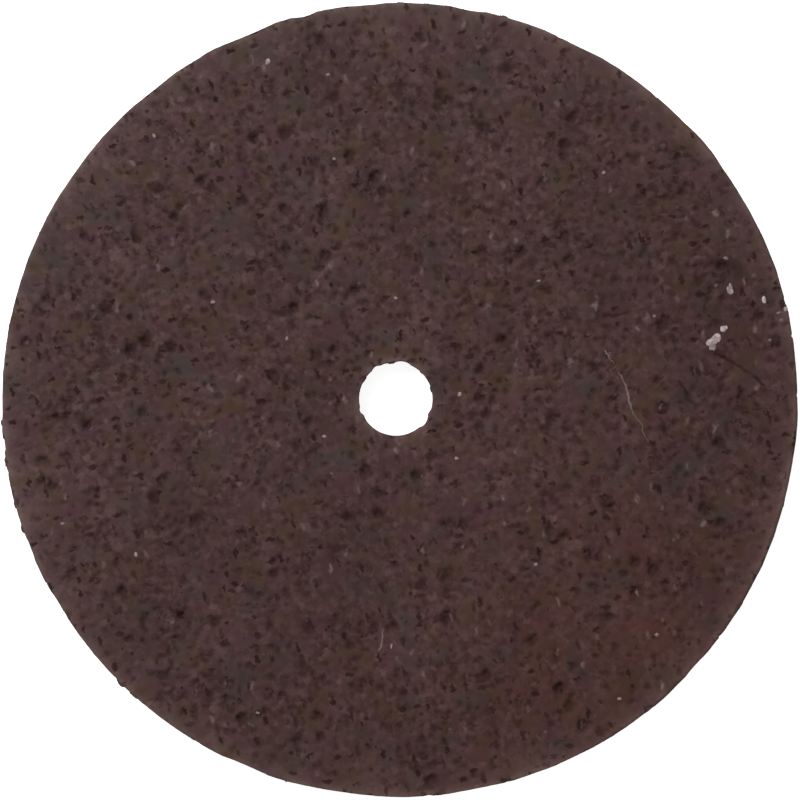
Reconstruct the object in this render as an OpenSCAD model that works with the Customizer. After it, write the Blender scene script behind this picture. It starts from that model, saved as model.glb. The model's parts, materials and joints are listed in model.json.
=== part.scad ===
// Cut-off wheel for a rotary tool: one thin disc, hot-pressed from abrasive grain and resin.
// It lies flat with its lower face on z = 0, and the axis of its arbor hole is the Z axis.
// The rim and the hole are broken from grain to grain, and both faces are open with pores
// where grains have come away.

/* [Disc] */
// Diameter of the rim
wheel_d = 24; // [20:0.1:38]
// Thickness from face to face
wheel_t = 1; // [0.7:0.05:2]
// Width of the worn bevel on both edges of the rim
bevel = 0.06; // [0.02:0.01:0.12]

/* [Arbor hole] */
// Diameter of the hole that the mandrel's screw passes through
bore_d = 2.22; // [1.6:0.01:3.4]
// Distance from the hole's axis to the rim's centre
run_out = 0.13; // [0:0.01:0.3]
// Direction of the run-out, counter-clockwise from +X
run_out_angle = -19; // [-180:1:180]

/* [Grain] */
// Width of a plain abrasive grain
grain = 0.15; // [0.1:0.01:0.22]
// Number of open pores in each face
face_pores = 220; // [20:5:260]
// Number of open pores round the rim's wall
rim_pores = 80; // [10:5:100]
// Width of the closed skin along the rim and round the hole, which has no pores
skin_w = 0.45; // [0.3:0.05:0.8]

/* [Hidden] */
$fn = 180;
wheel_colour = [0.277, 0.205, 0.198];
wheel_r = wheel_d / 2;
bore_r = bore_d / 2;
rim_centre = run_out * [cos(run_out_angle), sin(run_out_angle), 0];
// Width of the coarsest grains of the blend, in plain grains
coarse = 2.2;
// Height of a pore's centre above its face or wall, as a share of the pore's size
pore_rise = 0.15;
// Length by which a cutting shape passes the face or wall that it opens
clear = 2 * grain;
// Depth to which an added shape is rooted in the solid behind its wall
root = 2 * grain;
// Largest angle between two points of an arc in a patch's outline
arc_step = 3;

// Stretches of the rim that stand proud: [angle, width in degrees, height in grains]
rim_swells = [
    [18, 24, 0.2], [40, 8, 0.3], [167, 36, 0.1], [186, 8, 0.3], [193, 16, 0.3], [198, 6, 0.2],
    [206, 9, 0.2], [311, 6, 0.15], [334, 24, 0.2], [356, 8, 0.15]
];
// Stretches of the rim that have crumbled: [angle, width in degrees, depth in grains]
rim_dips = [
    [64, 9, 0.3], [80, 5, 0.35], [95, 6, 0.25], [104, 4, 0.4], [113, 10, 0.4], [131, 30, 0.12],
    [145, 9, 0.2], [211, 4, 0.2], [247, 7, 0.35], [263, 19, 0.3], [284, 36, 0.12], [318, 4, 0.2]
];
// Grains that stand out of the rim: [angle, height in grains]
rim_grains = [
    [69, 0.45], [75, 0.45], [86, 0.35], [90, 0.25], [100, 0.25], [132.5, 0.5], [155, 0.3], [172, 0.3],
    [183, 0.55], [189, 0.65], [195, 0.7], [199, 0.65], [225.5, 0.7], [228, 0.4], [254, 0.75],
    [304, 0.2], [320, 0.3], [329, 0.4], [345, 0.35]
];
// Places where the hole's wall has broken out: [angle, width in degrees, depth in grains]
bore_breaks = [
    [78, 24, 0.3], [123, 14, 0.3], [199, 11, 0.25], [320, 20, 0.35]
];
// Grains that stand into the hole: [angle, height in grains]
bore_grains = [
    [14, 0.25], [47, 0.2], [96, 0.3], [148, 0.25], [208, 0.15], [337, 0.3]
];
// Corners of a broken stretch: [share of its width, share of its depth]
broken_corners = [
    [-0.5, 0], [-0.4, 0.4], [-0.22, 0.9], [0.06, 1], [0.25, 0.7], [0.42, 0.3], [0.5, 0]
];

// Point at radius r in the direction of an angle
function polar(r, angle) = r * [cos(angle), sin(angle)];

// Outline of a broken stretch of a round wall of radius r. Its corners lie up to depth beyond
// the wall, and the outline closes along an arc of radius back.
function patch_outline(r, width, depth, back) =
    let (steps = ceil(width / arc_step))
    concat(
        [for (c = broken_corners) polar(r + c[1] * depth, c[0] * width)],
        [for (i = [steps : -1 : 0]) polar(back, (i / steps - 0.5) * width)]
    );

// Broken stretch of a wall, as high as the wheel is thick less a margin at both faces
module wall_patch(r, place, depth, back, margin) {
    rotate(place[0])
        translate([0, 0, margin])
            linear_extrude(wheel_t - 2 * margin)
                polygon(patch_outline(r, place[1], depth, back));
}

// One blocky grain, a cube whose edges are broken by a second cube. The flat side that faces
// +X lies half of its size from the centre, however far the grain is rolled.
module grain_block(size, roll) {
    rotate([roll, 0, 0])
        intersection() {
            cube(size, center = true);
            rotate([45, 0, 35])
                cube(1.1 * size, center = true);
        }
}

// The shape that a lost grain leaves, a tumbled block that is turned about Z
module pore_block(size, stretch, turn) {
    rotate(turn)
        rotate([28, 17, 0])
            cube([size, stretch * size, size], center = true);
}

// What its children have between the planes of the two faces
module between_faces() {
    intersection() {
        children();
        translate([0, 0, wheel_t / 2])
            cube([2 * wheel_d, 2 * wheel_d, wheel_t], center = true);
    }
}

// Section of the pressed disc, from its axis to the bevelled rim
module disc_section() {
    polygon([
        [0, 0], [wheel_r - bevel, 0], [wheel_r, bevel],
        [wheel_r, wheel_t - bevel], [wheel_r - bevel, wheel_t], [0, wheel_t]
    ]);
}

// The disc with what stands out of its rim
module disc_body() {
    rotate_extrude()
        disc_section();
    for (place = rim_swells)
        wall_patch(wheel_r, place, place[2] * grain, wheel_r - root, bevel);
    heights = rands(0.3, 0.7, len(rim_grains), 5);
    between_faces()
        for (i = [0 : len(rim_grains) - 1])
            rotate(rim_grains[i][0])
                translate([wheel_r + (rim_grains[i][1] - 1) * grain, 0, heights[i] * wheel_t])
                    grain_block(2 * grain, 360 * heights[i]);
}

// Crumbled stretches and open pores of the rim's wall
module rim_wear() {
    for (place = rim_dips)
        wall_patch(wheel_r, place, -place[2] * grain, wheel_r + clear, -clear);
    angles = rands(0, 360, rim_pores, 11);
    heights = rands(0.25, 0.75, rim_pores, 12);
    sizes = rands(1, coarse, rim_pores, 13);
    for (i = [0 : rim_pores - 1])
        rotate(angles[i])
            translate([wheel_r + pore_rise * sizes[i] * grain, 0, heights[i] * wheel_t])
                rotate([0, 90, 0])
                    pore_block(sizes[i] * grain, 1.3, 360 * heights[i]);
}

// Open pores of one face, spread evenly over the area inside the skin
module face_wear(z, out, seed) {
    inner = bore_r + skin_w + run_out;
    outer = wheel_r - skin_w;
    shares = rands(0, 1, face_pores, seed);
    angles = rands(0, 360, face_pores, seed + 1);
    sizes = rands(1, coarse, face_pores, seed + 2);
    stretches = rands(1, 1.8, face_pores, seed + 3);
    for (i = [0 : face_pores - 1]) {
        r = sqrt(inner * inner + shares[i] * (outer * outer - inner * inner));
        size = sizes[i] * grain;
        rotate(angles[i])
            translate([r, 0, z + out * pore_rise * size])
                pore_block(size, stretches[i], 360 * shares[i]);
    }
}

// The arbor hole: a true cylinder with its broken-out stretches
module arbor_hole() {
    translate([0, 0, -clear])
        cylinder(h = wheel_t + 2 * clear, r = bore_r);
    for (place = bore_breaks)
        wall_patch(bore_r, place, place[2] * grain, bore_r / 2, -clear);
}

// Grains that stand into the arbor hole. They sit in its two edges, in turn, and are rooted in
// its wall, so that the middle of the wall stays a true cylinder for the screw.
module hole_grains() {
    size = 1.2 * grain;
    between_faces()
        for (i = [0 : len(bore_grains) - 1])
            rotate(bore_grains[i][0])
                translate([
                    bore_r + size / 2 - bore_grains[i][1] * grain,
                    0,
                    i % 2 == 0 ? size / 2 : wheel_t - size / 2
                ])
                    grain_block(size, 50 * i);
}

module cutting_wheel() {
    color(wheel_colour) {
        difference() {
            translate(rim_centre)
                difference() {
                    disc_body();
                    rim_wear();
                    face_wear(0, -1, 21);
                    face_wear(wheel_t, 1, 31);
                }
            arbor_hole();
        }
        hole_grains();
    }
}

cutting_wheel();
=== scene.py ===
# %% [markdown]
# # The cut-off wheel of a rotary tool
# The wheel is one thin disc that was pressed hot from abrasive grain and resin. A solid model
# gives its exact size, and this notebook gives it its skin: grain, open pores, a crumbled rim,
# a few pale crystals and the light of a plain studio. The solid is loaded first and nothing
# moves it, because all that follows is measured from it.

# %% Load the solid model
import json
import bpy
import numpy as np
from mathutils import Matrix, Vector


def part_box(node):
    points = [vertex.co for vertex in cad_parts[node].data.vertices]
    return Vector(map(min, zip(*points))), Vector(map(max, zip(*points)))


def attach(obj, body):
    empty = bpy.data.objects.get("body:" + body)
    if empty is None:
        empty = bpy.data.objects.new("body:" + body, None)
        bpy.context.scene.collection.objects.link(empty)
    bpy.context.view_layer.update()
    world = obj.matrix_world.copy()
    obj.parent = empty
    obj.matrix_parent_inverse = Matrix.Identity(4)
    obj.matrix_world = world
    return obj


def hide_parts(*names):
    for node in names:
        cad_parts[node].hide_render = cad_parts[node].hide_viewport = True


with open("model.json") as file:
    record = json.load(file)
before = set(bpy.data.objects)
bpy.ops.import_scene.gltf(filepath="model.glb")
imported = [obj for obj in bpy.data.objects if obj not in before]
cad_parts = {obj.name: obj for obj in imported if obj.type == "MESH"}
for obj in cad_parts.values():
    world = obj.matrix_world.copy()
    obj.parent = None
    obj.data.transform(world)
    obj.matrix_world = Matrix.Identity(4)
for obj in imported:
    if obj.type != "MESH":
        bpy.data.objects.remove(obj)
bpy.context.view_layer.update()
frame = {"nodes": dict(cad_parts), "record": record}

# %% [markdown]
# ## Sizes
# Blender counts in metres, and a grain is a tenth of a millimetre, so the sums below are in
# millimetres and are turned into metres when a mesh is made. Only the bevel and the sizes of
# grain are new numbers here. The rest comes from the solid, so that the skin fits it after
# any change of its size.

# %% Sizes in millimetres
MM = 0.001
solid_low, solid_high = (np.array(corner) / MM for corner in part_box("cutting_wheel"))
thickness = solid_high[2] - solid_low[2]
bore = next(m for m in frame["record"]["mounts"] if m["kind"] == "bore")
bore_radius = bore["dims"]["r_mm"]
rim_centre = (solid_low + solid_high)[:2] / 2
rim_radius = (solid_high - solid_low)[:2].min() / 2
bevel = 0.06
grain = 0.17
print("rim radius %.3f, bore radius %.3f, thickness %.3f mm" % (rim_radius, bore_radius, thickness))

# %% [markdown]
# ## The camera
# The wheel is seen from straight above and fills the picture. A long lens far away gives
# almost parallel rays, so that the wall of the hole doesn't show, and a turned view still has
# a little perspective, which an orthographic camera would not give.

# %% Camera
PICTURE_WIDTH = 24.12
PICTURE_CENTRE = (0.127, -0.033)
LENS = 200.0
SENSOR = 36.0
camera_data = bpy.data.cameras.new("camera")
camera_data.lens = LENS
camera_data.sensor_width = SENSOR
camera_data.clip_start = 0.001
camera = bpy.data.objects.new("camera", camera_data)
distance = PICTURE_WIDTH * LENS / SENSOR
camera.location = (PICTURE_CENTRE[0] * MM, PICTURE_CENTRE[1] * MM, (thickness + distance) * MM)
bpy.context.scene.collection.objects.link(camera)
bpy.context.scene.camera = camera
print("camera %.1f mm above the wheel" % distance)

# %% [markdown]
# ## Helpers for colours and nodes
# A colour read off a screen is squeezed by the screen's curve, and Blender adds light in
# linear numbers, so a colour is unsqueezed first. The second helper adds a node and fills its
# sockets in one line, which keeps a material as short as a recipe.

# %% Colour and node helpers
def screen(red, green, blue):
    """Linear colour of a screen colour of 0 to 255: c / 12.92 when dark, else a power of 2.4."""
    c = np.array([red, green, blue]) / 255
    linear = np.where(c <= 0.04045, c / 12.92, ((c + 0.055) / 1.055) ** 2.4)
    return (*linear, 1.0)


class Recipe:
    """A node material that is written from the top down."""

    def __init__(self, name):
        self.material = bpy.data.materials.new(name)
        self.material.use_nodes = True
        self.tree = self.material.node_tree
        self.tree.nodes.clear()

    def add(self, kind, values=(), **settings):
        """Adds a node. A value is a number or colour, or another node's socket to link from."""
        node = self.tree.nodes.new("ShaderNode" + kind)
        for name, setting in settings.items():
            setattr(node, name, setting)
        for key, value in dict(values).items():
            if isinstance(value, bpy.types.NodeSocket):
                self.tree.links.new(value, node.inputs[key])
            else:
                node.inputs[key].default_value = value
        return node

    def math(self, operation, first, second=0.5, third=0.0, clamp=False):
        """The result of one sum on up to three numbers or sockets."""
        values = {0: first, 1: second, 2: third}
        return self.add("Math", values, operation=operation, use_clamp=clamp).outputs[0]

    def ramp(self, value, low, high):
        """Smooth step: 0 below low, 1 above high."""
        values = {"Value": value, "From Min": low, "From Max": high}
        node = self.add("MapRange", values, interpolation_type="SMOOTHSTEP")
        return node.outputs["Result"]

    def mix(self, factor, first, second, blend="MIX"):
        """First colour where factor is 0, second where it is 1."""
        node = self.add("Mix", data_type="RGBA", blend_type=blend)
        for index, value in ((0, factor), (6, first), (7, second)):
            if isinstance(value, bpy.types.NodeSocket):
                self.tree.links.new(value, node.inputs[index])
            else:
                node.inputs[index].default_value = value
        return node.outputs[2]

    def noise(self, vector, scale, detail=2.0, roughness=0.5, distortion=0.0):
        """A noise texture with that many features a millimetre."""
        values = {"Vector": vector, "Scale": scale, "Detail": detail}
        values.update({"Roughness": roughness, "Distortion": distortion})
        return self.add("TexNoise", values)


# %% [markdown]
# ## Light
# The picture has flat, even light with hardly a shadow. An even white world gives half of it,
# and one wide lamp from the upper left gives the other half, which is enough to show relief.
# Together they light a level white surface with a strength of one, so each colour renders as
# it is written. The floor is white where the lamp reaches it and only darkens near the wheel.

# %% World, lamp and floor
SKY_SHARE = 0.55
LAMP_TILT = 38.0
LAMP_TURN = 40.0
world = bpy.data.worlds.new("studio")
world.use_nodes = True
bpy.context.scene.world = world
sky = world.node_tree
sky.nodes.clear()
path = sky.nodes.new("ShaderNodeLightPath")
strength = sky.nodes.new("ShaderNodeMapRange")
strength.inputs["To Min"].default_value = SKY_SHARE
strength.inputs["To Max"].default_value = 1.0
glow = sky.nodes.new("ShaderNodeBackground")
world_out = sky.nodes.new("ShaderNodeOutputWorld")
sky.links.new(path.outputs["Is Camera Ray"], strength.inputs["Value"])
sky.links.new(strength.outputs["Result"], glow.inputs["Strength"])
sky.links.new(glow.outputs[0], world_out.inputs[0])

lamp_data = bpy.data.lights.new("soft_lamp", "SUN")
lamp_data.energy = (1 - SKY_SHARE) * np.pi / np.cos(np.radians(LAMP_TILT))
lamp_data.angle = np.radians(30)
lamp = bpy.data.objects.new("soft_lamp", lamp_data)
lamp.rotation_euler = (np.radians(LAMP_TILT), 0, np.radians(LAMP_TURN + 180))
bpy.context.scene.collection.objects.link(lamp)
print("lamp %.2f, sky %.2f" % (lamp_data.energy, SKY_SHARE))

# %% Floor
FLOOR_SIDE = 2.0
FLOOR_GLOW = 0.8
corners = np.array([[-1, -1, 0], [1, -1, 0], [1, 1, 0], [-1, 1, 0]]) * FLOOR_SIDE / 2
floor_mesh = bpy.data.meshes.new("floor")
floor_mesh.from_pydata(corners.tolist(), [], [(0, 1, 2, 3)])
floor = bpy.data.objects.new("floor", floor_mesh)
bpy.context.scene.collection.objects.link(floor)
paper = Recipe("white_paper")
ray = paper.add("LightPath")
side = paper.add("NewGeometry")
matt = paper.add("BsdfDiffuse", {"Color": (0.9, 0.9, 0.9, 1)})
shine = paper.add("Emission", {"Strength": paper.math("MULTIPLY", ray.outputs[0], FLOOR_GLOW)})
lit = paper.add("AddShader", {0: matt.outputs[0], 1: shine.outputs[0]})
clear = paper.add("BsdfTransparent")
both = {0: side.outputs["Backfacing"], 1: lit.outputs[0], 2: clear.outputs[0]}
paper_mix = paper.add("MixShader", both)
paper.add("OutputMaterial", {"Surface": paper_mix.outputs[0]})
floor_mesh.materials.append(paper.material)

# %% [markdown]
# ## A blank round the wheel
# The skin could be sculpted, or the solid could be cut finer, but a pressed disc is simplest
# as rings of points: a section of the wheel carried round its axis. Each ring has as many
# points as its length needs, so that the triangles are about as large at the rim as they are
# at the hole. The blank is a little larger than the wheel on all sides, and its points know
# which way is out.

# %% Section of the blank
STEP_TOP = 0.09
STEP_UNDER = 0.17
STEP_WALL = 0.07
STEP_BORE = 0.05
STANDOFF = 0.16
CHIP = 0.09


def straight(start, end, normal, step):
    """Rows of (r, z, outward r, outward z, step) at even places from start to end."""
    start, end = np.array(start, float), np.array(end, float)
    count = max(int(np.linalg.norm(end - start) / step), 1)
    along = np.linspace(0, 1, count + 1)[:, None]
    places = start + along * (end - start)
    return np.hstack([places, np.tile([*normal, step], (count + 1, 1))])


def corner(centre, radius, first, last, count, step):
    """Rows on an arc round centre: centre + radius * (cos a, sin a), the ends left out."""
    a = np.radians(np.linspace(first, last, count + 2)[1:-1])[:, None]
    out = np.hstack([np.cos(a), np.sin(a)])
    places = np.array(centre) + radius * out
    return np.hstack([places, out, np.full((count, 1), step)])


inner, outer = bore_radius + CHIP, rim_radius - bevel
above, below = thickness + STANDOFF, -STANDOFF
section = np.vstack([
    corner((inner, thickness - CHIP), CHIP + STANDOFF, 180, 90, 3, STEP_BORE),
    straight((inner, above), (outer, above), (0, 1), STEP_TOP),
    corner((outer, thickness - bevel), bevel + STANDOFF, 90, 0, 3, STEP_WALL),
    straight((rim_radius + STANDOFF, thickness - bevel), (rim_radius + STANDOFF, bevel), (1, 0), STEP_WALL),
    corner((outer, bevel), bevel + STANDOFF, 0, -90, 3, STEP_WALL),
    straight((outer, below), (inner, below), (0, -1), STEP_UNDER),
    corner((inner, CHIP), CHIP + STANDOFF, 270, 180, 3, STEP_BORE),
    straight((bore_radius - STANDOFF, CHIP), (bore_radius - STANDOFF, thickness - CHIP), (-1, 0), STEP_BORE),
])
print("section of", len(section), "rings")


# %% [markdown]
# ## Rings of points, zipped together
# The rim and the hole aren't quite concentric, so the rings' centres drift from one to the
# other. Points are nudged at random along the faces, because rows that line up would show as
# a pattern. Two rings with different counts are joined like a zip: the edges of both are
# sorted by angle, and each makes a triangle with the point it has just passed on the other.

# %% Points of the blank
rng = np.random.default_rng(7)
counts = np.maximum(np.round(2 * np.pi * section[:, 0] / section[:, 4]), 96).astype(int)
starts = np.concatenate([[0], np.cumsum(counts)[:-1]])
ring_of = np.repeat(np.arange(len(section)), counts)
place_in = np.arange(counts.sum()) - starts[ring_of]
r, z, out_r, out_z, step = section[ring_of].T
flat = np.abs(out_z) > 0.999
inside = flat & (r > inner + step) & (r < outer - step)
nudge = rng.uniform(-0.3, 0.3, (2, len(r)))
theta = 2 * np.pi * (place_in + nudge[0]) / counts[ring_of]
radius = r + inside * nudge[1] * step
drift = np.clip((r - bore_radius) / (rim_radius - bore_radius), 0, 1)
blank = np.stack([
    drift * rim_centre[0] + radius * np.cos(theta),
    drift * rim_centre[1] + radius * np.sin(theta),
    z,
], 1)
outward = np.stack([out_r * np.cos(theta), out_r * np.sin(theta), out_z], 1)


def zip_rings(first, second):
    """Triangles between two rings: each edge with the last point passed on the other ring."""
    n, m = counts[first], counts[second]
    i, j = np.arange(n), np.arange(m)
    near_j = np.searchsorted((j + 0.5) / m, (i + 0.5) / n, "left") % m
    near_i = np.searchsorted((i + 0.5) / n, (j + 0.5) / m, "right") % n
    a, b = starts[first], starts[second]
    return np.vstack([
        np.stack([a + i, b + near_j, a + (i + 1) % n], 1),
        np.stack([b + j, b + (j + 1) % m, a + near_i], 1),
    ])


following = np.roll(np.arange(len(section)), -1)
triangles = np.vstack([zip_rings(k, following[k]) for k in range(len(section))])
print(len(blank), "points,", len(triangles), "triangles")


# %% [markdown]
# ## Mesh helper
# Large arrays go into a mesh fastest with foreach_set. The object stays at the origin, with
# its place in its points.

# %% Arrays to mesh
def make_piece(name, points, faces, material, smooth=True):
    """An object from points in millimetres and an array of triangles or quads."""
    mesh = bpy.data.meshes.new(name)
    sides = faces.shape[1]
    mesh.vertices.add(len(points))
    mesh.vertices.foreach_set("co", (points * MM).astype(np.float32).ravel())
    mesh.loops.add(faces.size)
    mesh.loops.foreach_set("vertex_index", faces.astype(np.int32).ravel())
    mesh.polygons.add(len(faces))
    mesh.polygons.foreach_set("loop_start", np.arange(0, faces.size, sides, dtype=np.int32))
    mesh.polygons.foreach_set("use_smooth", np.full(len(faces), smooth))
    mesh.update(calc_edges=True)
    mesh.validate()
    if material is not None:
        mesh.materials.append(material)
    piece = bpy.data.objects.new(name, mesh)
    bpy.context.scene.collection.objects.link(piece)
    return piece


# %% [markdown]
# ## Press the blank onto the solid
# A Shrinkwrap modifier sends a ray from each point of the blank, against its normal, until it
# meets the solid. The skin then has the solid's own rim with its swells, dips and proud
# grains, its pores and its broken hole. The result is read back as numbers, and the object
# that was only a mould is removed.

# %% Shrinkwrap
mould = make_piece("mould", blank, triangles, None)
press = mould.modifiers.new("press", "SHRINKWRAP")
press.target = frame["nodes"]["cutting_wheel"]
press.wrap_method = "PROJECT"
press.use_negative_direction = True
press.use_positive_direction = False
press.project_limit = 0
shaped = mould.evaluated_get(bpy.context.evaluated_depsgraph_get()).to_mesh()
pressed = np.empty(len(blank) * 3, np.float32)
shaped.vertices.foreach_get("co", pressed)
pressed = pressed.reshape(-1, 3).astype(float) / MM
bpy.data.objects.remove(mould)
fall = np.linalg.norm(pressed - blank, axis=1)
print("pressed by %.3f to %.3f mm, missed %d" % (fall.min(), fall.max(), (fall < 1e-4).sum()))


# %% [markdown]
# ## Random numbers in space
# Relief and colour come from two kinds of pattern. A cell pattern scatters one point in each
# little cube of space and asks which is nearest, which looks like packed grains. A cloud
# pattern blends random numbers between the corners of larger cubes. Both are worked out in
# three dimensions, so they run over the edges of the wheel without a seam.

# %% Cell and cloud patterns
def scatter(cell, salt):
    """A number of 0 to 1 for each integer cell: its coordinates times large primes, stirred."""
    c = cell.astype(np.int64).astype(np.uint64)
    n = c[..., 0] * 73856093 ^ c[..., 1] * 19349663 ^ c[..., 2] * 83492791
    n = (n + np.uint64(salt * 2654435761)) & np.uint64(0xFFFFFFFF)
    n = ((n ^ (n >> np.uint64(15))) * np.uint64(2246822519)) & np.uint64(0xFFFFFFFF)
    n = ((n ^ (n >> np.uint64(13))) * np.uint64(3266489917)) & np.uint64(0xFFFFFFFF)
    return (n ^ (n >> np.uint64(16))).astype(float) / 0xFFFFFFFF


def cells(points, size, salt):
    """Distances to the nearest and second scattered point, in cells, and the nearest's cell."""
    p = points / size
    base = np.floor(p)
    best, second = np.full(len(p), 9.0), np.full(len(p), 9.0)
    owner = base.copy()
    for shift in np.ndindex(3, 3, 3):
        cell = base + np.array(shift) - 1
        place = cell + np.stack([scatter(cell, salt + k) for k in range(3)], 1)
        gap = np.linalg.norm(place - p, axis=1)
        nearer = gap < best
        second = np.where(nearer, best, np.minimum(second, gap))
        owner = np.where(nearer[:, None], cell, owner)
        best = np.where(nearer, gap, best)
    return best, second, owner


def cloud(points, size, salt):
    """Random numbers at the corners of cubes, blended by 3t^2 - 2t^3 along each axis."""
    p = points / size
    base = np.floor(p)
    t = p - base
    t = t * t * (3 - 2 * t)
    total = np.zeros(len(p))
    for shift in np.ndindex(2, 2, 2):
        weight = np.prod(np.where(shift, t, 1 - t), axis=1)
        total += weight * scatter(base + np.array(shift), salt)
    return total


def smoothstep(low, high, value):
    """0 below low, 1 above high, and 3t^2 - 2t^3 between."""
    t = np.clip((value - low) / (high - low), 0, 1)
    return t * t * (3 - 2 * t)


# %% [markdown]
# ## Grain and pores
# The wheel is open where grains have come away. Each cell of the pattern is a grain. Some are
# lost, more of them in some places than in others, and a lost grain leaves a hollow of its
# own shape. Along the edges of both faces the mould pressed a closer skin, which has fewer,
# and is paler. What is left is a little uneven. All relief goes inwards, so the wheel keeps
# its size.

# %% Relief of grains
PORE_DEPTH = 0.07
RELIEF = 0.02
SKIN_NARROW = 0.1
SKIN_WIDE = 0.55
to_rim = rim_radius - np.linalg.norm(pressed[:, :2] - rim_centre, axis=1)
to_bore = np.linalg.norm(pressed[:, :2], axis=1) - bore_radius
to_edge = np.maximum(np.minimum(to_rim, to_bore), 0)
to_face = np.minimum(pressed[:, 2], thickness - pressed[:, 2])
facing = np.abs(out_z)
open_share = np.maximum(smoothstep(0.1, 0.5, to_edge), (1 - facing) * smoothstep(0.05, 0.3, to_face))
near, next_near, owner = cells(pressed, grain, 11)
seam = next_near - near
crowding = cloud(pressed, 0.9, 31) * 0.5 + cloud(pressed, 0.4, 32) * 0.5
loss = (0.10 + 0.30 * smoothstep(0.5, 0.75, crowding)) * (0.3 + 0.7 * open_share)
lost = scatter(owner, 41) < loss
hollow = lost * smoothstep(0.0, 0.25, seam)
height = scatter(owner, 42) * smoothstep(0, 0.4, seam)
relief = PORE_DEPTH * hollow + RELIEF * (1 - height) * (0.35 + 0.65 * open_share)
sunk = np.where(out_z > 0.9, thickness - pressed[:, 2], np.where(out_z < -0.9, pressed[:, 2], 0))
# The pores are painted dark in the material: partly their dark resin, partly painted shade in the hollows.
pore = np.maximum(hollow, smoothstep(0.02, 0.10, sunk))
skin = 1.2 * np.exp(-to_edge / SKIN_NARROW)
skin += np.where(to_bore < to_rim, 0.2, 0.48) * np.exp(-to_edge / SKIN_WIDE)
skin *= 0.3 + 0.7 * facing
print("lost grains %.1f%%, relief to %.3f mm" % (100 * lost.mean(), relief.max()))

# %% [markdown]
# ## Grooves
# On the right a groove runs down from the largest crystal towards the rim, a short one lies
# near it, and two more lie further in. Each point of the skin gets its distance to the nearest
# groove's path, with a plus on one side and a minus on the other. Such a number passes smoothly through zero
# along the path, so the material can draw a line much finer than the triangles are, and it paints that line dark
# as painted shade in the groove. Each place on a path has a third number, which says how deep the
# groove is there and how dark its painted shade.

# %% Grooves and the stain
GROOVES = [
    [[9.62, 1.38, 1], [9.89, 1.27, 1], [10.13, 1.11, 0.9], [10.38, 0.96, 0.7], [10.57, 0.83, 0.6],
     [10.79, 0.72, 0.3], [10.86, 0.62, 1], [11.07, 0.42, 1]],
    [[8.62, 0.48, 0.8], [8.70, 0.3, 0.9], [8.82, 0.12, 0.8]],
    [[6.30, 2.52, 1], [6.57, 2.50, 0.7], [6.84, 2.58, 0.8], [7.07, 2.64, 0.4]],
    [[5.98, 4.42, 0.4], [6.33, 4.32, 0.4], [6.75, 4.33, 0.3]],
]
STAIN = [[9.62, 4.12, 1], [10.28, 4.08, 1], [10.32, 3.78, 1]]
GROOVE_DEPTH = 0.03


def path_field(points, path):
    """The signed distance of each point to a path, and the path's strength there, 0 past its ends.

    On each straight stretch from a to b the nearest place is a + t (b - a), with t clipped to
    0 to 1, and the sign is that of the cross product of b - a and p - a. The strength goes from
    the one at a to the one at b with the same t."""
    route, strengths = np.array(path)[:, :2], np.array(path)[:, 2]
    distance, strength = np.full(len(points), 9.0), np.zeros(len(points))
    for k in range(len(route) - 1):
        along, rel = route[k + 1] - route[k], points[:, :2] - route[k]
        t = np.clip(rel @ along / (along @ along), 0, 1)
        gap = np.linalg.norm(rel - t[:, None] * along, axis=1)
        side = np.sign(along[0] * rel[:, 1] - along[1] * rel[:, 0])
        nearer = gap < np.abs(distance)
        distance = np.where(nearer, gap * side, distance)
        strength = np.where(nearer, strengths[k] + t * (strengths[k + 1] - strengths[k]), strength)
    first, last = route[1] - route[0], route[-1] - route[-2]
    past_start = (route[0] - points[:, :2]) @ first / np.linalg.norm(first)
    past_end = (points[:, :2] - route[-1]) @ last / np.linalg.norm(last)
    return distance, strength * (1 - smoothstep(0, 0.08, np.maximum(past_start, past_end)))


on_top = out_z > 0.9
groove, groove_share = np.full(len(pressed), 0.5), np.zeros(len(pressed))
for route in GROOVES:
    distance_to, beside = path_field(pressed, route)
    nearer = on_top & (np.abs(distance_to) < np.abs(groove))
    groove = np.where(nearer, distance_to, groove)
    groove_share = np.where(nearer, beside, groove_share)
relief += GROOVE_DEPTH * groove_share * np.exp(-((groove / 0.07) ** 2))
stain_distance, _ = path_field(pressed, STAIN)
stain = on_top * (1 - smoothstep(0.05, 0.25, np.abs(stain_distance)))
skin_points = pressed - outward * relief[:, None]
print("groove touches", int((np.abs(groove) < 0.05).sum()), "points, stain", int((stain > 0.5).sum()))

# %% [markdown]
# ## The finish of bonded abrasive
# Seen close, the wheel is a mass of grey-brown grains with small dark pits between them. The
# material builds that up on its own scales. A cell pattern gives each grain a tone of its own,
# a second and coarser one opens pits of odd shapes, and slow noise shifts the hue from patch to
# patch, to olive, grey-violet or rust. The pits and pores are darkened for their dark resin and
# with painted shade in the hollows, and the grooves with painted shade. Painted light and shade
# also make the whole face lighter towards the lamp on the upper left and darker towards the lower
# right. The same pits feed the bump, so that light finds them.

# %% Grains and pits
abrasive = Recipe("bonded_abrasive")
coords = abrasive.add("TexCoord").outputs["Object"]
mm = abrasive.add("VectorMath", {0: coords, 3: 1 / MM}, operation="SCALE").outputs[0]


def marked(name):
    """The number that each point of the skin carries under that name."""
    return abrasive.add("Attribute", attribute_name=name).outputs["Fac"]


def warped(size, strength, turn=0.0, stretch=1.0):
    """The coordinates, pushed by noise of that size by up to half the strength.

    What is drawn on them is longer by the stretch, in the direction turned from +Y in degrees."""
    push = abrasive.noise(mm, 1 / size, detail=1.0).outputs["Color"]
    push = abrasive.add("VectorMath", {0: push, 1: (0.5, 0.5, 0.5)}, operation="SUBTRACT").outputs[0]
    push = abrasive.add("VectorMath", {0: push, 3: strength}, operation="SCALE").outputs[0]
    pushed = abrasive.add("VectorMath", {0: mm, 1: push}, operation="ADD").outputs[0]
    longer = {"Vector": pushed, "Rotation": (0, 0, np.radians(turn)), "Scale": (1, stretch, 1)}
    return abrasive.add("Mapping", longer, vector_type="TEXTURE").outputs[0]


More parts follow.
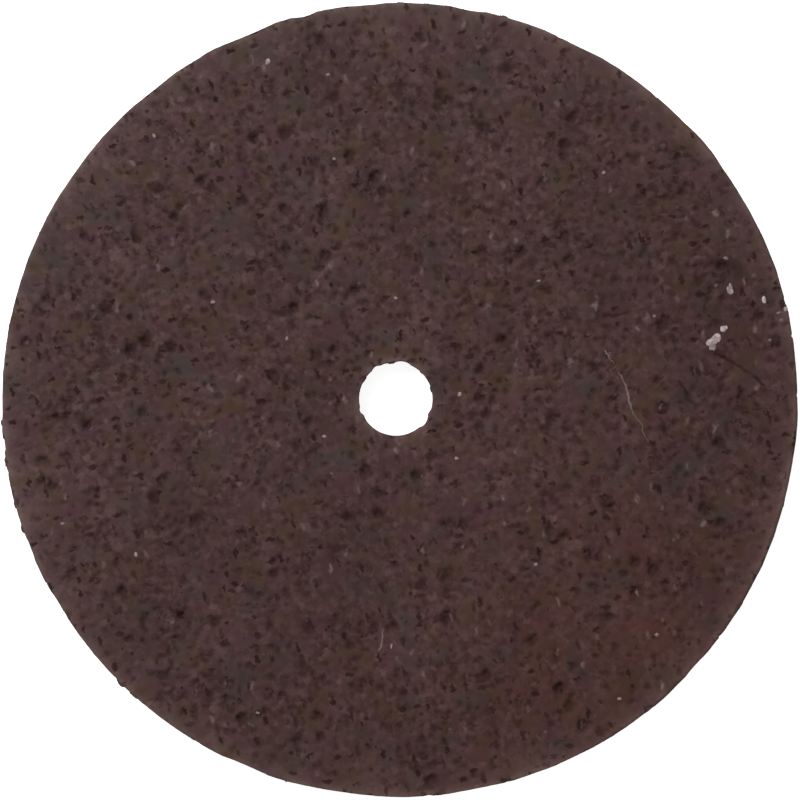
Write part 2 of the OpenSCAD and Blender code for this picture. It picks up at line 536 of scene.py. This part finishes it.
def spots(size, share, low, high, strength, turn=0.0, stretch=1.0):
    """Spots, one to a cell of that size in mm: 1 inside low, 0 outside high, in cells."""
    vector = warped(0.6 * size, strength, turn, stretch)
    cell = abrasive.add("TexVoronoi", {"Vector": vector, "Scale": 1 / size})
    pick = abrasive.add("SeparateColor", {"Color": cell.outputs["Color"]})
    chosen = abrasive.math("LESS_THAN", pick.outputs[0], share)
    body = abrasive.math("SUBTRACT", 1.0, abrasive.ramp(cell.outputs["Distance"], low, high))
    strong = abrasive.math("MULTIPLY_ADD", pick.outputs[1], 0.6, 0.4)
    return abrasive.math("MULTIPLY", abrasive.math("MULTIPLY", chosen, strong), body)


grains = abrasive.add("TexVoronoi", {"Vector": warped(0.1, 0.12), "Scale": 1 / 0.19, "Smoothness": 0.35},
                      feature="SMOOTH_F1")
grain_tone = abrasive.add("SeparateColor", {"Color": grains.outputs["Color"]}).outputs[0]
fine_pits = spots(0.15, 0.03, 0.2, 0.6, 0.10)
long_pits = spots(0.21, 0.18, 0.23, 0.45, 0.20, turn=15, stretch=2.2)
flat_pits = spots(0.22, 0.16, 0.23, 0.45, 0.20, turn=-80, stretch=2.0)
pits = abrasive.math("MAXIMUM", fine_pits, abrasive.math("MAXIMUM", long_pits, flat_pits))
# The groove's line is painted dark: painted shade in the groove.
ragged = abrasive.math("MULTIPLY_ADD", abrasive.noise(mm, 6.0).outputs[0], 0.16, -0.08)
ragged = abrasive.math("ABSOLUTE", abrasive.math("ADD", marked("groove"), ragged))
line = abrasive.math("SUBTRACT", 1.0, abrasive.ramp(ragged, 0.015, 0.075))
groove_painted_shade = abrasive.math("MULTIPLY", line, marked("groove_share"))
# Pits, pores and grooves are darkened together: dark resin in them and painted shade in the hollows.
hollow_resin_and_shade = abrasive.math("MAXIMUM", abrasive.math("MULTIPLY", marked("pore"), 0.5), pits)
hollow_resin_and_shade = abrasive.math("MAXIMUM", hollow_resin_and_shade, abrasive.math("MULTIPLY", groove_painted_shade, 0.9))

# %% Colours of the grain
RUST_PLACE = (6.4, -7.4, 1.0)
RUST_REACH = 6.5
clouds = abrasive.noise(mm, 0.45, detail=3.0, roughness=0.55)
patches = abrasive.noise(mm, 1.1, detail=3.0, roughness=0.5)
speckle = abrasive.noise(mm, 4.0, detail=2.0, roughness=0.6)
hue = abrasive.add("SeparateColor", {"Color": patches.outputs["Color"]})

level = abrasive.math("ADD", abrasive.math("MULTIPLY", grain_tone, 0.5),
                      abrasive.math("MULTIPLY", abrasive.ramp(speckle.outputs[0], 0.3, 0.7), 0.5))
tone = abrasive.mix(abrasive.ramp(level, 0.1, 0.9), screen(66, 46, 44), screen(84, 63, 61))
pale = abrasive.math("MULTIPLY", abrasive.ramp(grain_tone, 0.8, 1.05), 0.4)
tone = abrasive.mix(pale, tone, screen(104, 84, 81))
worn = abrasive.math("MULTIPLY_ADD", abrasive.ramp(patches.outputs[0], 0.35, 0.65), 0.8, 0.6)
tone = abrasive.mix(abrasive.math("MULTIPLY", marked("skin"), worn), tone, screen(106, 87, 83))
tone = abrasive.mix(abrasive.ramp(hue.outputs[0], 0.46, 0.80), tone, screen(72, 55, 40))
tone = abrasive.mix(abrasive.ramp(hue.outputs[1], 0.48, 0.84), tone, screen(65, 58, 55))
tone = abrasive.mix(abrasive.ramp(hue.outputs[2], 0.48, 0.84), tone, screen(77, 51, 56))
away = abrasive.add("VectorMath", {0: mm, 1: RUST_PLACE}, operation="DISTANCE").outputs["Value"]
rusty = abrasive.math("SUBTRACT", 1.0, abrasive.ramp(away, 1.0, RUST_REACH))
rust_cloud = abrasive.add("SeparateColor", {"Color": clouds.outputs["Color"]}).outputs[1]
rusty = abrasive.math("MULTIPLY", rusty, abrasive.ramp(rust_cloud, 0.35, 0.65))
tone = abrasive.mix(abrasive.math("MULTIPLY", rusty, 0.26), tone, screen(90, 50, 36))
tone = abrasive.mix(abrasive.math("MULTIPLY", marked("stain"), 0.45), tone, screen(48, 30, 24))
shade = abrasive.add("MapRange", {"Value": clouds.outputs[0], 1: 0.3, 2: 0.7, 3: 0.85, 4: 1.15}).outputs[0]
tone = abrasive.add("VectorMath", {0: tone, 3: shade}, operation="SCALE").outputs[0]
# Painted light and shade over the whole face: lighter and cooler towards the upper left, the lamp's side, darker
# and redder towards the lower right.
painted_lamp_side_shading = abrasive.add("VectorMath", {0: mm, 1: (-0.059, 0.059, 0)}, operation="DOT_PRODUCT").outputs[1]
painted_lamp_side_shading = abrasive.math("MULTIPLY_ADD", painted_lamp_side_shading, 0.5, 0.5)
tone = abrasive.mix(1.0, tone, abrasive.mix(painted_lamp_side_shading, (0.88, 0.78, 0.77, 1), (1.12, 1.145, 1.195, 1)), "MULTIPLY")
# Dark red-brown in the hollows: partly dark resin, partly painted shade.
tone = abrasive.mix(abrasive.math("MULTIPLY", hollow_resin_and_shade, 0.9), tone, screen(38, 17, 17))
# Soft pale spots, lighter than the grain round them.
pale_spots = spots(0.40, 0.26, 0.0, 0.28, 0.3, stretch=1.8)
tone = abrasive.mix(pale_spots, tone, screen(120, 100, 98))

# %% Roughness, bump and the finished material
height_map = abrasive.math("MULTIPLY_ADD", hollow_resin_and_shade, -0.8, abrasive.math("MULTIPLY", speckle.outputs[0], 0.6))
bump = abrasive.add("Bump", {"Height": height_map, "Strength": 0.4, "Distance": 0.03 * MM})
shader = abrasive.add("BsdfPrincipled", {
    "Base Color": tone, "Roughness": 0.8, "Specular IOR Level": 0.12, "Normal": bump.outputs[0],
})
abrasive.add("OutputMaterial", {"Surface": shader.outputs[0]})

# %% The wheel's skin
wheel = make_piece("wheel_skin", skin_points, triangles, abrasive.material)
marks = {"pore": pore, "skin": skin, "groove": groove, "groove_share": groove_share, "stain": stain}
for name, values in marks.items():
    attribute = wheel.data.attributes.new(name, "FLOAT", "POINT")
    attribute.data.foreach_set("value", values.astype(np.float32))
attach(wheel, "root")
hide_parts("cutting_wheel")

# %% [markdown]
# ## Pale crystals
# A few grains of white corundum shine out of the face, most of them near the rim on the right.
# A crystal is a ball with flat sides: rings of eight points between two poles, each side drawn
# in or out at random and the facets left flat. They lie sunk in the face, so only their tops
# show. Each row gives a place, a length, a width, a turn and a whiteness.

# %% Crystals
CRYSTALS = np.array([
    [9.69, 1.85, 0.38, 0.28, 80, 1.0], [9.47, 1.71, 0.30, 0.22, 45, 0.95], [9.60, 1.75, 0.32, 0.26, 50, 0.9],
    [9.55, 1.59, 0.34, 0.24, 85, 0.5],
    [9.89, 2.12, 0.27, 0.21, 5, 1.0], [10.08, 3.26, 0.31, 0.18, 120, 0.7], [10.09, 3.37, 0.26, 0.13, 95, 0.65],
    [11.10, 2.98, 0.27, 0.14, 95, 1.0], [11.75, 2.71, 0.16, 0.13, 60, 1.0], [11.62, 2.38, 0.17, 0.15, 0, 0.25],
    [11.56, 2.60, 0.18, 0.1, 20, 0.25], [9.95, 4.24, 0.2, 0.12, 170, 0.25], [9.66, 3.42, 0.18, 0.15, 40, 0.05],
    [7.80, 2.50, 0.14, 0.11, 0, 0.25], [11.28, 1.77, 0.14, 0.12, 0, 0.2], [-3.85, 10.17, 0.2, 0.16, 70, 0.8],
    [-2.04, 9.78, 0.15, 0.12, 20, 0.5], [-7.29, 7.94, 0.17, 0.12, 120, 0.6], [-1.86, 7.24, 0.13, 0.11, 0, 0.45],
    [-5.51, 2.92, 0.15, 0.12, 30, 0.5], [-3.28, 1.83, 0.14, 0.12, 80, 0.5], [0.0, 3.04, 0.14, 0.12, 0, 0.45],
    [6.27, 6.82, 0.15, 0.12, 45, 0.5], [4.31, 3.56, 0.14, 0.11, 0, 0.4], [1.92, 0.14, 0.15, 0.13, 60, 0.7],
    [-7.84, -4.69, 0.17, 0.13, 100, 0.6], [-10.04, -3.76, 0.15, 0.12, 0, 0.5], [-2.16, -1.13, 0.15, 0.12, 0, 0.5],
    [1.83, -1.79, 0.14, 0.12, 15, 0.5], [6.75, -9.04, 0.15, 0.12, 0, 0.5], [4.22, -4.99, 0.14, 0.12, 50, 0.45],
    [-0.13, -7.46, 0.2, 0.08, 80, 0.5], [-4.15, -9.47, 0.14, 0.11, 0, 0.45], [7.87, -7.11, 0.14, 0.12, 0, 0.4],
])
CRYSTAL_RISE = 0.012
CRYSTAL_HEIGHT = 0.10
RINGS, SIDES = 5, 8


def crystal_points(row, rng):
    """(length/2 s cos a, width/2 s sin a, height/2 c): s, c sine and cosine of the ring's angle.

    Each side's s is scaled by a random 0.75 to 1.2, and the whole is turned and moved."""
    x, y, length, width, turn, _ = row
    ring = np.pi * np.arange(1, RINGS + 1) / (RINGS + 1)
    around = 2 * np.pi * np.arange(SIDES) / SIDES
    swell = rng.uniform(0.75, 1.2, SIDES)
    s = np.sin(ring)[:, None] ** 0.6 * swell
    local = np.stack([
        length / 2 * s * np.cos(around),
        width / 2 * s * np.sin(around),
        CRYSTAL_HEIGHT / 2 * np.cos(ring)[:, None] * np.ones(SIDES),
    ], 2).reshape(-1, 3)
    poles = np.array([[0, 0, CRYSTAL_HEIGHT / 2], [0, 0, -CRYSTAL_HEIGHT / 2]])
    local = np.vstack([local, poles])
    t = np.radians(turn)
    spin = np.array([[np.cos(t), np.sin(t), 0], [-np.sin(t), np.cos(t), 0], [0, 0, 1]])
    return local @ spin + [x, y, thickness + CRYSTAL_RISE - CRYSTAL_HEIGHT / 2]


def lump_faces():
    """Triangles of one lump: two for each square of the grid, and a fan at each pole."""
    k, j = np.meshgrid(np.arange(RINGS - 1), np.arange(SIDES), indexing="ij")
    a = (k * SIDES + j).ravel()
    b = (k * SIDES + (j + 1) % SIDES).ravel()
    j = np.arange(SIDES)
    last = (RINGS - 1) * SIDES
    top, bottom = RINGS * SIDES, RINGS * SIDES + 1
    return np.vstack([
        np.stack([a, a + SIDES, b], 1), np.stack([b, a + SIDES, b + SIDES], 1),
        np.stack([np.full(SIDES, top), j, (j + 1) % SIDES], 1),
        np.stack([last + j, np.full(SIDES, bottom), last + (j + 1) % SIDES], 1),
    ])


crystal_rng = np.random.default_rng(3)
lumps = [crystal_points(row, crystal_rng) for row in CRYSTALS]
lump = lump_faces()
lump_size = len(lumps[0])
crystal_faces = np.vstack([lump + lump_size * i for i in range(len(lumps))])
print(len(lumps), "crystals,", len(crystal_faces), "triangles")

# %% Corundum material
corundum = Recipe("pale_corundum")
corundum_mm = corundum.add("VectorMath", {0: corundum.add("TexCoord").outputs["Object"], 3: 1 / MM},
                           operation="SCALE").outputs[0]
whiteness = corundum.add("Attribute", attribute_name="white").outputs["Fac"]
veins = corundum.noise(corundum_mm, 9.0, detail=2.0)
milky = corundum.mix(corundum.ramp(veins.outputs[0], 0.35, 0.65), screen(150, 134, 133), screen(195, 180, 180))
milky = corundum.mix(whiteness, screen(78, 60, 58), milky)
gloss = corundum.add("BsdfPrincipled", {"Base Color": milky, "Roughness": 0.5, "Specular IOR Level": 0.25})
corundum.add("OutputMaterial", {"Surface": gloss.outputs[0]})

crystals = make_piece("pale_crystals", np.vstack(lumps), crystal_faces, corundum.material, smooth=False)
white = crystals.data.attributes.new("white", "FLOAT", "POINT")
white.data.foreach_set("value", np.repeat(CRYSTALS[:, 5], lump_size).astype(np.float32))
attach(crystals, "root")

# %% [markdown]
# ## Fibres
# Two hair-thin fibres were caught in the press. A fibre is a round profile carried along a
# path. The path is a smooth curve through a few points on the face, found by blending each
# four neighbours, and the profile thins to nothing at both ends.

# %% Fibres
FIBRE_WIDTH = 0.085
FIBRE_STEPS = 8
FIBRE_SIDES = 6
FIBRES = [
    [[6.29, 1.48], [6.40, 1.32], [6.49, 1.17], [6.62, 1.05]],
    [[6.65, 0.92], [6.78, 0.71], [6.89, 0.49], [6.98, 0.25], [7.03, -0.02], [7.12, -0.32], [7.24, -0.56],
     [7.42, -0.77], [7.47, -1.06], [7.69, -1.38]],
    [[-0.38, -6.92], [-0.40, -7.13], [-0.42, -7.38], [-0.52, -7.63]],
]


def smooth_path(points):
    """Catmull-Rom curve: each stretch is the cubic through two points, with slopes that are half
    the step between their neighbours."""
    p = np.array(points, float)
    p = np.vstack([2 * p[0] - p[1], p, 2 * p[-1] - p[-2]])
    t = np.linspace(0, 1, FIBRE_STEPS, endpoint=False)[None, :, None]
    a, b, c, d = (p[k:len(p) - 3 + k, None] for k in range(4))
    curve = b + (c - a) / 2 * t + (a - 2.5 * b + 2 * c - d / 2) * t**2 + (1.5 * (b - c) + (d - a) / 2) * t**3
    return np.vstack([curve.reshape(-1, 2), p[-2]])


def fibre_points(points):
    """Circles of radius w/2 * sqrt(sin(pi s)) across the path, s running from 0 to 1 along it,

    each made up to a quarter thinner or thicker, and pushed a little aside, by slow sines."""
    path = smooth_path(points)
    along = np.gradient(path, axis=0)
    along /= np.linalg.norm(along, axis=1)[:, None]
    s = np.linspace(0, 1, len(path))
    k = np.arange(len(path))
    radius = FIBRE_WIDTH / 2 * (0.15 + 0.85 * np.sqrt(np.clip(np.sin(np.pi * s), 0, 1)))
    radius *= 1 + 0.25 * np.sin(1.1 * k) * np.cos(0.37 * k)
    a = 2 * np.pi * np.arange(FIBRE_SIDES) / FIBRE_SIDES
    side = np.stack([-along[:, 1], along[:, 0]], 1)
    path = path + side * (0.015 * np.sin(0.9 * k) * np.sin(0.23 * k))[:, None]
    flat = path[:, None] + side[:, None] * (radius[:, None] * np.cos(a))[..., None]
    lift = thickness - 0.025 + 0.75 * radius[:, None] * np.sin(a)
    return np.concatenate([flat, lift[..., None]], 2).reshape(-1, 3)


def tube_faces(rings):
    """Triangles between neighbouring circles of one tube, and a fan over each end."""
    k, j = np.meshgrid(np.arange(rings - 1), np.arange(FIBRE_SIDES), indexing="ij")
    a = (k * FIBRE_SIDES + j).ravel()
    b = (k * FIBRE_SIDES + (j + 1) % FIBRE_SIDES).ravel()
    m = np.arange(1, FIBRE_SIDES - 1)
    end = (rings - 1) * FIBRE_SIDES
    return np.vstack([
        np.stack([a, b, a + FIBRE_SIDES], 1), np.stack([b, b + FIBRE_SIDES, a + FIBRE_SIDES], 1),
        np.stack([0 * m, m + 1, m], 1), np.stack([0 * m + end, end + m, end + m + 1], 1),
    ])


tubes = [fibre_points(points) for points in FIBRES]
tube_starts = np.cumsum([0] + [len(tube) for tube in tubes[:-1]])
fibre_faces = np.vstack([
    tube_faces(len(tube) // FIBRE_SIDES) + start for tube, start in zip(tubes, tube_starts)
])
print("fibres:", len(fibre_faces), "triangles")

# %% Fibre material
thread = Recipe("pale_fibre")
thread_mm = thread.add("VectorMath", {0: thread.add("TexCoord").outputs["Object"], 3: 1 / MM},
                       operation="SCALE").outputs[0]
dust = thread.noise(thread_mm, 1.6, detail=2.0)
lint = thread.mix(thread.ramp(dust.outputs[0], 0.35, 0.65), screen(86, 67, 58), screen(114, 98, 95))
matt_thread = thread.add("BsdfPrincipled", {"Base Color": lint, "Roughness": 0.7})
thread.add("OutputMaterial", {"Surface": matt_thread.outputs[0]})
fibres = make_piece("pressed_fibres", np.vstack(tubes), fibre_faces, thread.material)
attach(fibres, "root")

# %% View transform
bpy.context.scene.view_settings.view_transform = "Standard"
